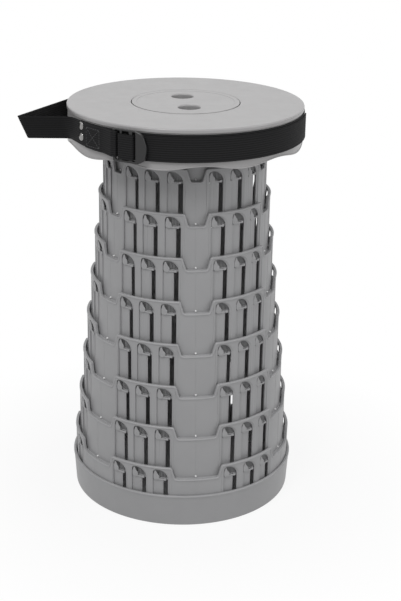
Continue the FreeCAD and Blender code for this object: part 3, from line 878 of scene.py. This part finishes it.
def filled(points, step=4.0):
    """A route with extra points along its longer runs."""
    result = [points[0]]
    for there in points[1:]:
        here = result[-1]
        count = max(1, round((there - here).length / step))
        result += [here.lerp(there, (i + 1) / count) for i in range(count)]
    return result


def webbing(low_route, high_route, low, width, lifts=None):
    """Ribbed webbing between a route at its lower edge and one at its upper edge.

    Lifts are how far the lower edge is raised at each point of the route.
    """
    lifts = lifts or [0.0] * len(low_route)
    bm = bmesh.new()
    layer = bm.loops.layers.uv.new("along_and_across")
    across = []
    count = STRAP_RIBS * 6
    for index in range(count + 1):
        share = index / count
        rib = 0.5 - 0.5 * math.cos(2 * math.pi * STRAP_RIBS * share)
        edge = min(1.0, min(share, 1 - share) * width / 0.7)
        thick = STRAP_THICK / 2 * math.sqrt(max(0.04, 1 - (1 - edge) ** 2))
        across.append((share, thick - 0.16 * (1 - rib) * edge))
    section = [(s, t) for s, t in across] + [(s, -t) for s, t in reversed(across)]
    rows = []
    travel = [0.0]
    size = len(low_route)
    for index in range(size):
        before = max(0, index - 1)
        after = min(size - 1, index + 1)
        run = (low_route[after] + high_route[after]) - (low_route[before] + high_route[before])
        run.normalize()
        side = Vector((run.y, -run.x))
        if index:
            travel.append(travel[-1] + (low_route[index] - low_route[index - 1]).length)
        row = []
        for share, thick in section:
            place = low_route[index].lerp(high_route[index], share) + side * thick
            row.append(bm.verts.new((place.x, place.y, low + width * share + lifts[index] * (1 - share))))
        rows.append(row)
    for index in range(size - 1):
        for k in range(len(section)):
            corners = (rows[index][k - 1], rows[index][k], rows[index + 1][k], rows[index + 1][k - 1])
            face = bm.faces.new(corners)
            shares = (section[k - 1][0], section[k][0], section[k][0], section[k - 1][0])
            places = (travel[index], travel[index], travel[index + 1], travel[index + 1])
            for loop, u, v in zip(face.loops, places, shares):
                loop[layer].uv = (u * MM, v * width * MM)
    for row in (rows[0], rows[-1]):
        bm.faces.new(row)
    bmesh.ops.recalc_face_normals(bm, faces=bm.faces)
    return bm


def lift_at(point):
    """How far the lower edge is raised beside the buckle, where the end is drawn up to the rivets."""
    azimuth = math.degrees(math.atan2(point.x, -point.y))
    if END_AZIMUTH - 0.2 <= azimuth <= LIFT_END:
        return STRAP_LIFT * (LIFT_END - azimuth) / (LIFT_END - END_AZIMUTH)
    return 0.0


def make_strap(material):
    """Webbing from the rivets round the seat, out in the hand loop, back and round the first bar."""
    routes = []
    for tip, bend in zip(LOOP_TIPS, LOOP_BENDS):
        belt = arc_route(INNER_LAYER, END_AZIMUTH, 360.0 + LOOP_TANGENT)
        start = polar(INNER_LAYER, LOOP_TANGENT).xy
        stop = polar(OUTER_LAYER, END_AZIMUTH - 0.1).xy
        loop = eased([tuple(start), (*tip, LOOP_FOLD), bend, tuple(stop)], closed=False)
        near = [index for index, point in enumerate(loop) if (point - Vector(tip)).length < 8.0]
        out = even_run(loop[:near[0] + 1], OUT_STEPS)
        turn = even_run(loop[near[0]:near[-1] + 1], TURN_STEPS)
        home = even_run(loop[near[-1]:], HOME_STEPS)
        fold_at = BUCKLE_SLOTS[0][0] + BUCKLE_PLAY + STRAP_THICK / 2
        turned = eased([
            tuple(polar(OUTER_LAYER, TURN_AZIMUTH).xy),
            (*at_buckle(fold_at, OUTER_LAYER - 0.2), BAR_FOLD),
            (*at_buckle(fold_at, OVER_BARS), BAR_FOLD),
            (*at_buckle(BUCKLE_LEFT - 1.0, OVER_BARS), 3.0),
            tuple(polar(THIRD_LAYER, LAP_AZIMUTHS[0]).xy),
        ], closed=False)
        end = arc_route(OUTER_LAYER, END_AZIMUTH, TURN_AZIMUTH)[1:] + turned[1:]
        end += arc_route(THIRD_LAYER, *LAP_AZIMUTHS)[1:]
        routes.append(belt + out[1:] + turn[1:] + home[1:] + end)
        lifts = [lift_at(point) for point in belt] + [0.0] * (OUT_STEPS + TURN_STEPS)
        lifts += [STRAP_LIFT * min(1.0, (index + 1) / (0.7 * HOME_STEPS)) for index in range(HOME_STEPS)]
        lifts += [lift_at(point) for point in end]
    bm = webbing(routes[0], routes[1], STRAP_LOW, STRAP_WIDTH, lifts)
    nodes = ["strap_belt", "strap_loop", "strap_end"]
    piece(bm, "strap_webbing", material, "seat", nodes, 60.0)


def make_tail(material):
    """Free end of the webbing, woven through the buckle and laid along the front."""
    down = BUCKLE_SLOTS[0][1] - BUCKLE_PLAY - STRAP_THICK / 2
    up = BUCKLE_SLOTS[2][0] + BUCKLE_PLAY + STRAP_THICK / 2
    through = eased([
        at_buckle(1.0, OUTER_LAYER + 0.1),
        (*at_buckle(down, OUTER_LAYER + 0.1), BAR_FOLD),
        (*at_buckle(down, OVER_BARS), BAR_FOLD),
        (*at_buckle(up, OVER_BARS), BAR_FOLD),
        (*at_buckle(up, OUTER_LAYER - 0.1), BAR_FOLD),
        (*at_buckle(21.0, OUTER_LAYER - 1.3), 30.0),
        tuple(polar(OUTER_LAYER, TAIL_AZIMUTHS[0]).xy),
    ], closed=False)
    route = filled(through) + arc_route(OUTER_LAYER, *TAIL_AZIMUTHS)[1:]
    bm = webbing(route, route, STRAP_LOW - TAIL_DROP, STRAP_WIDTH - TAIL_NARROWER)
    piece(bm, "strap_free_end", material, "seat", ["strap_tail"], 60.0)


def make_stitching(material):
    """Thread: a sewn box with a cross in it over the turned-back end, and the hem of the free end."""
    low_azimuth, high_azimuth, low, high = STITCH_BOX
    radius = THIRD_LAYER + STRAP_THICK / 2
    width = math.radians(high_azimuth - low_azimuth) * radius
    corners = [(0.0, low), (width, low), (width, high), (0.0, high)]
    lines = [(a, b) for a, b in zip(corners, corners[1:] + corners[:1])]
    lines += [(corners[0], corners[2]), (corners[1], corners[3])]
    bm = bmesh.new()
    seams = [(radius, low_azimuth, start, stop) for start, stop in lines]
    hem = OUTER_LAYER + STRAP_THICK / 2
    for azimuth in HEM_AZIMUTHS:
        seams.append((hem, azimuth, (0.0, STRAP_LOW + 1.5), (0.0, STRAP_LOW + STRAP_WIDTH - 4.5)))
    for distance, azimuth, start, stop in seams:
        start = Vector(start)
        stop = Vector(stop)
        way = (stop - start).normalized()
        side = Vector((-way.y, way.x)) * STITCH_WIDTH / 2
        count = max(1, int((stop - start).length / (STITCH_LENGTH + STITCH_GAP)))
        pitch = (stop - start).length / count
        for index in range(count):
            near = start + way * (index * pitch + STITCH_GAP / 2)
            far = start + way * ((index + 1) * pitch - STITCH_GAP / 2)
            corners = (near - side, far - side, far + side, near + side)
            box = eased([(*corner, 0.2) for corner in corners])
            stitch = plate([box], edge_steps(distance - 0.3, distance + 0.22, 0.0, 0.2, 2))
            wrap(stitch, distance, azimuth)
            copy_into(bm, stitch)
            stitch.free()
    piece(bm, "strap_stitching", material, "seat")


def make_buckle(material):
    """Ladder buckle with rounded bars and a lifting tab."""
    middle = STRAP_LOW + STRAP_WIDTH / 2 - 0.8
    left = BUCKLE_LEFT
    right = BUCKLE_RIGHT
    half_h = BUCKLE_HEIGHT / 2
    frame_outline = eased([
        (left, middle - half_h, 2.0),
        (right, middle - half_h, 3.0),
        (right + BUCKLE_TAB * 0.75, middle - half_h * 0.75, 6.0),
        (right + BUCKLE_TAB, middle, 12.0),
        (right + BUCKLE_TAB * 0.55, middle + half_h * 0.8, 8.0),
        (right - 3.0, middle + half_h, 3.0),
        (left, middle + half_h, 2.0),
    ])
    slot_half = STRAP_WIDTH / 2 + 0.5
    loops = [frame_outline]
    for start, stop in BUCKLE_SLOTS:
        hole = eased([
            (start, middle - slot_half, 0.6),
            (start, middle + slot_half + 0.8, 0.6),
            (stop, middle + slot_half + 0.8, 0.6),
            (stop, middle - slot_half, 0.6),
        ])
        loops.append(hole)
    far = BUCKLE_NEAR + BUCKLE_THICK
    bm = plate(loops, edge_steps(BUCKLE_NEAR, far, 0.6, 0.9))
    turn = Matrix.Rotation(math.radians(BUCKLE_AZIMUTH), 4, "Z")
    for vert in bm.verts:
        vert.co = turn @ Vector((vert.co.x, -vert.co.z, vert.co.y))
    piece(bm, "ladder_buckle", material, "seat", ["strap_buckle"])


def make_rivets(material):
    """Two domed rivets."""
    parts = []
    surface = OUTER_LAYER + STRAP_THICK / 2
    for level in RIVET_LEVELS:
        place = polar(surface, RIVET_AZIMUTH, level)
        outward = polar(1, RIVET_AZIMUTH)
        parts.append(dome(place, outward, RIVET_RADIUS, RIVET_HEIGHT, 40, 8))
    piece(merge(parts), "strap_rivet_heads", material, "seat", ["strap_rivets"])


# Materials


def node_material(name):
    """A new material with its nodes, and the shader that ends them."""
    material = bpy.data.materials.new(name)
    material.use_nodes = True
    return material, material.node_tree.nodes, material.node_tree.links


def noise(nodes, links, scale, detail, source):
    """Noise on a coordinate, from 0 to 1."""
    texture = nodes.new("ShaderNodeTexNoise")
    texture.inputs["Scale"].default_value = scale
    texture.inputs["Detail"].default_value = detail
    links.new(source, texture.inputs["Vector"])
    return texture.outputs["Fac"]


def combined(nodes, links, operation, first, second):
    """A math node on two values, each an output or a number."""
    node = nodes.new("ShaderNodeMath")
    node.operation = operation
    for value, socket in ((first, node.inputs[0]), (second, node.inputs[1])):
        if isinstance(value, float):
            socket.default_value = value
        else:
            links.new(value, socket)
    return node.outputs["Value"]


def varied_color(nodes, links, shader, source, dark, light):
    """Let the colour wander between two."""
    mix = nodes.new("ShaderNodeMix")
    mix.data_type = "RGBA"
    mix.inputs["A"].default_value = (*dark, 1)
    mix.inputs["B"].default_value = (*light, 1)
    links.new(source, mix.inputs["Factor"])
    links.new(mix.outputs["Result"], shader.inputs["Base Color"])


def varied_gloss(nodes, links, shader, source, low, high):
    """Let the roughness wander between two values."""
    gloss = nodes.new("ShaderNodeMapRange")
    gloss.inputs["To Min"].default_value = low
    gloss.inputs["To Max"].default_value = high
    links.new(source, gloss.inputs["Value"])
    links.new(gloss.outputs["Result"], shader.inputs["Roughness"])


def bumped(nodes, links, shader, height, strength, distance):
    """Raise the surface a little by a texture."""
    bump = nodes.new("ShaderNodeBump")
    bump.inputs["Strength"].default_value = strength
    bump.inputs["Distance"].default_value = distance
    links.new(height, bump.inputs["Height"])
    links.new(bump.outputs["Normal"], shader.inputs["Normal"])


def plastic(name, color, roughness, grain):
    """Moulded plastic: fine grain, a little mottling and slightly uneven gloss."""
    material, nodes, links = node_material(name)
    shader = nodes["Principled BSDF"]
    place = nodes.new("ShaderNodeTexCoord").outputs["Object"]
    dark = [channel * 0.94 for channel in color]
    light = [min(1, channel * 1.06) for channel in color]
    varied_color(nodes, links, shader, noise(nodes, links, 35.0, 4.0, place), dark, light)
    smear = noise(nodes, links, 90.0, 3.0, place)
    varied_gloss(nodes, links, shader, smear, roughness - 0.06, roughness + 0.06)
    bumped(nodes, links, shader, noise(nodes, links, 1800.0, 2.0, place), grain, 0.0001)
    return material


def webbing_material():
    """Black ribbed webbing: woven across and along, a little sheen, with a painted highlight that lightens
    the rib crests.
    """
    material, nodes, links = node_material("black_webbing")
    shader = nodes["Principled BSDF"]
    shader.inputs["Roughness"].default_value = 0.8
    shader.inputs["Specular IOR Level"].default_value = 0.15
    shader.inputs["Sheen Weight"].default_value = 0.04
    shader.inputs["Sheen Roughness"].default_value = 0.4
    uv = nodes.new("ShaderNodeUVMap")
    uv.uv_map = "along_and_across"
    rib_scale = 2 * math.pi * STRAP_RIBS / (20 * STRAP_WIDTH * MM)
    waves = []
    for direction, scale, distortion in (("X", 260.0, 0.6), ("Y", 210.0, 0.6), ("Y", rib_scale, 0.0)):
        wave = nodes.new("ShaderNodeTexWave")
        wave.bands_direction = direction
        wave.inputs["Scale"].default_value = scale
        wave.inputs["Distortion"].default_value = distortion
        if distortion:
            wave.inputs["Detail"].default_value = 1.0
        links.new(uv.outputs["UV"], wave.inputs["Vector"])
        waves.append(wave.outputs["Fac"])
    weave = combined(nodes, links, "MULTIPLY", waves[0], waves[1])
    # painted highlight: the colour is lighter on the crests of the ribs; the weave share is the thread
    # pattern of the yarn
    rib_crest_highlight = combined(nodes, links, "MULTIPLY", waves[2], 0.65)
    by_weave = combined(nodes, links, "MULTIPLY", weave, 0.35)
    share = combined(nodes, links, "ADD", rib_crest_highlight, by_weave)
    varied_color(nodes, links, shader, share, (0.003, 0.003, 0.0033), (0.020, 0.020, 0.021))
    bumped(nodes, links, shader, weave, 0.6, 0.0002)
    return material


def metal_material(name, color, roughness):
    """Plated metal with fine scratches in its gloss."""
    material, nodes, links = node_material(name)
    shader = nodes["Principled BSDF"]
    shader.inputs["Metallic"].default_value = 1.0
    shader.inputs["Base Color"].default_value = (*color, 1)
    place = nodes.new("ShaderNodeTexCoord").outputs["Object"]
    scratches = noise(nodes, links, 700.0, 5.0, place)
    varied_gloss(nodes, links, shader, scratches, roughness - 0.05, roughness + 0.1)
    return material


# Studio


def seen_directly(nodes, links):
    """1 for what the camera sees, also in metal or through glass, and 0 for what lights the object."""
    rays = nodes.new("ShaderNodeLightPath").outputs
    either = combined(nodes, links, "MAXIMUM", rays["Is Camera Ray"], rays["Is Glossy Ray"])
    return combined(nodes, links, "MAXIMUM", either, rays["Is Transmission Ray"])


def make_floor():
    """A pale floor that shows white to the camera and keeps the object's shadow."""
    material, nodes, links = node_material("studio_floor")
    shader = nodes["Principled BSDF"]
    shader.inputs["Base Color"].default_value = (0.6, 0.6, 0.6, 1)
    shader.inputs["Roughness"].default_value = 0.9
    glow = nodes.new("ShaderNodeEmission")
    glow.inputs["Strength"].default_value = 1.0
    place = nodes.new("ShaderNodeTexCoord").outputs["Object"]
    away = nodes.new("ShaderNodeVectorMath")
    away.operation = "LENGTH"
    links.new(place, away.inputs[0])
    near = nodes.new("ShaderNodeMapRange")
    near.inputs["From Min"].default_value = SHADOW_NEAR
    near.inputs["From Max"].default_value = SHADOW_FAR
    near.inputs["To Min"].default_value = SHADOW_WHITE
    near.inputs["To Max"].default_value = 1.0
    links.new(away.outputs["Value"], near.inputs["Value"])
    share = combined(nodes, links, "MULTIPLY", seen_directly(nodes, links), near.outputs["Result"])
    blend = nodes.new("ShaderNodeMixShader")
    links.new(share, blend.inputs["Fac"])
    links.new(shader.outputs["BSDF"], blend.inputs[1])
    links.new(glow.outputs["Emission"], blend.inputs[2])
    links.new(blend.outputs["Shader"], nodes["Material Output"].inputs["Surface"])
    bpy.ops.mesh.primitive_plane_add(size=30.0)
    floor = bpy.context.object
    floor.name = "studio_floor"
    floor.data.materials.append(material)


def make_world():
    """Soft light from all round, white where the camera looks at it."""
    world = bpy.data.worlds.new("studio")
    bpy.context.scene.world = world
    world.use_nodes = True
    nodes = world.node_tree.nodes
    links = world.node_tree.links
    soft = nodes["Background"]
    soft.inputs["Color"].default_value = (1, 1, 1, 1)
    soft.inputs["Strength"].default_value = 0.5
    white = nodes.new("ShaderNodeBackground")
    white.inputs["Color"].default_value = (1, 1, 1, 1)
    white.inputs["Strength"].default_value = 1.0
    blend = nodes.new("ShaderNodeMixShader")
    links.new(seen_directly(nodes, links), blend.inputs["Fac"])
    links.new(soft.outputs["Background"], blend.inputs[1])
    links.new(white.outputs["Background"], blend.inputs[2])
    links.new(blend.outputs["Shader"], nodes["World Output"].inputs["Surface"])


def area_light(name, place, target, size, power):
    """A square soft light that faces a point."""
    data = bpy.data.lights.new(name, "AREA")
    data.size = size
    data.energy = power
    lamp = bpy.data.objects.new(name, data)
    lamp.location = place
    lamp.rotation_euler = (Vector(target) - Vector(place)).to_track_quat("-Z", "Y").to_euler()
    bpy.context.scene.collection.objects.link(lamp)


def make_camera():
    """The photograph's camera."""
    forward = Vector((math.sin(CAMERA_YAW) * math.cos(CAMERA_PITCH),
                      math.cos(CAMERA_YAW) * math.cos(CAMERA_PITCH),
                      -math.sin(CAMERA_PITCH)))
    level = Vector((math.cos(CAMERA_YAW), -math.sin(CAMERA_YAW), 0))
    raised = level.cross(forward)
    right = math.cos(CAMERA_ROLL) * level + math.sin(CAMERA_ROLL) * raised
    up = -math.sin(CAMERA_ROLL) * level + math.cos(CAMERA_ROLL) * raised
    data = bpy.data.cameras.new("camera")
    data.lens = CAMERA_LENS
    data.sensor_width = 36.0
    data.clip_end = 50.0
    camera = bpy.data.objects.new("camera", data)
    axes = Matrix((right, up, -forward)).transposed().to_4x4()
    camera.matrix_world = Matrix.Translation((0, -CAMERA_BACK * MM, CAMERA_HEIGHT * MM)) @ axes
    bpy.context.scene.collection.objects.link(camera)
    bpy.context.scene.camera = camera


def main():
    body = plastic("grey_plastic", (0.30, 0.30, 0.306), 0.46, 0.25)
    seat = plastic("seat_grey_plastic", (0.325, 0.32, 0.322), 0.32, 0.3)
    # the pale colour of the guide pins is a painted highlight, standing in for a bright reflection on them
    pale = plastic("pin_highlight_pale_plastic", (0.7, 0.7, 0.7), 0.35, 0.1)
    black = plastic("black_plastic", (0.006, 0.006, 0.0065), 0.32, 0.1)
    rubber = plastic("pad_rubber", (0.03, 0.03, 0.03), 0.8, 0.5)
    fabric = webbing_material()
    thread = plastic("black_thread", (0.045, 0.045, 0.047), 0.7, 0.6)
    # the rivets' metal colour is darkened as painted shade, standing in for the dark surroundings that
    # plated rivets reflect
    shade_darkened_nickel = metal_material("shade_darkened_nickel", (0.27, 0.265, 0.26), 0.2)
    steel = metal_material("zinc_steel", (0.55, 0.55, 0.56), 0.35)
    for number in range(1, RING_COUNT + 1):
        make_ring(number, body)
    make_seat_ring(body)
    for number in range(2, RING_COUNT + 2):
        piece(ring_pins(number), "ring_%d_pins" % number, pale, ring_body(number))
    make_base(body)
    make_seat_top(seat)
    make_lid(seat)
    make_skirt(seat)
    make_strap(fabric)
    make_tail(fabric)
    make_stitching(thread)
    make_buckle(black)
    make_rivets(shade_darkened_nickel)
    for node, material in (("base_pads", rubber), ("base_screws", steel), ("seat_screws", steel)):
        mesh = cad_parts[node].data
        mesh.materials.clear()
        mesh.materials.append(material)
    make_floor()
    make_world()
    area_light("key", (-1.0, -1.6, 2.4), (0, 0, 0.25), 0.9, 30)
    area_light("side", (2.2, -0.8, 1.2), (0, 0, 0.25), 1.2, 14)
    area_light("top", (-0.15, -0.8, 2.6), (0, 0, 0.4), 0.7, 10)
    make_camera()
    bpy.context.scene.view_settings.view_transform = "Standard"


main()
